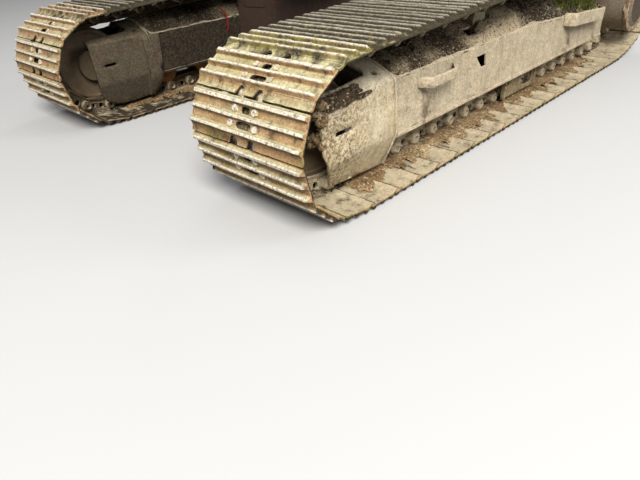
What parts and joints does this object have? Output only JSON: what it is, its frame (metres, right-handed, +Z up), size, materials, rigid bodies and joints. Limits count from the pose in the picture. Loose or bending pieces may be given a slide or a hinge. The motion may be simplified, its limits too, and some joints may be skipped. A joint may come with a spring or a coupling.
{
  "type": "crawler excavator undercarriage",
  "caption": "Long crawler undercarriage: two looped tracks with triple-bar shoes on gabled box frames, a hollow car body between them and a geared slewing ring on top.",
  "frame": {"origin": "on the ground under the slewing axis, midway between the tracks", "axes": "+X forward to the idlers, +Y to the left track, +Z up along the slewing axis"},
  "size_m": [4.4668, 3.19, 1.045],
  "materials": {
    "shoe_steel": "worn ochre paint and rust on forged steel",
    "frame_paint": "old paint under pale grey dust",
    "wheel_steel": "dark worn cast steel with rust",
    "dark_steel": "dark greasy paint",
    "drive_paint": "dusty dark paint",
    "body_paint": "dull brown paint with dust",
    "ring_steel": "machined and greased"
  },
  "bodies": {
    "root": {"track_left": "shoe_steel", "track_right": "shoe_steel", "track_frame_left": "frame_paint", "track_frame_right": "frame_paint", "idler_guard_outer_left": "frame_paint", "idler_guard_outer_right": "frame_paint", "idler_guard_inner_left": "frame_paint", "idler_guard_inner_right": "frame_paint", "idler_left": "wheel_steel", "idler_right": "wheel_steel", "idler_yoke_left": "dark_steel", "idler_yoke_right": "dark_steel", "track_rollers_left": "wheel_steel", "track_rollers_right": "wheel_steel", "carrier_rollers_left": "wheel_steel", "carrier_rollers_right": "wheel_steel", "roller_guard_left": "dark_steel", "roller_guard_right": "dark_steel", "sprocket_left": "wheel_steel", "sprocket_right": "wheel_steel", "final_drive_left": "drive_paint", "final_drive_right": "drive_paint", "travel_motor_left": "dark_steel", "travel_motor_right": "dark_steel", "motor_guard_left": "frame_paint", "motor_guard_right": "frame_paint", "steps_left": "frame_paint", "steps_right": "frame_paint", "car_body": "body_paint", "leg_front_left": "body_paint", "leg_front_right": "body_paint", "leg_rear_left": "body_paint", "leg_rear_right": "body_paint", "belly_cover": "body_paint", "slew_ring_inner": "ring_steel", "swivel_base": "dark_steel"},
    "slew_race": {"slew_ring_outer": "ring_steel"},
    "swivel": {"swivel_rotor": "dark_steel"}
  },
  "joints": [
    {"name": "slew_turn", "type": "hinge", "parent": "root", "child": "slew_race", "pos_m": [0, 0, 0.9875], "axis": [0, 0, 1], "continuous": true},
    {"name": "swivel_turn", "type": "hinge", "parent": "root", "child": "swivel", "pos_m": [0, 0, 0.9], "axis": [0, 0, 1], "continuous": true}
  ]
}
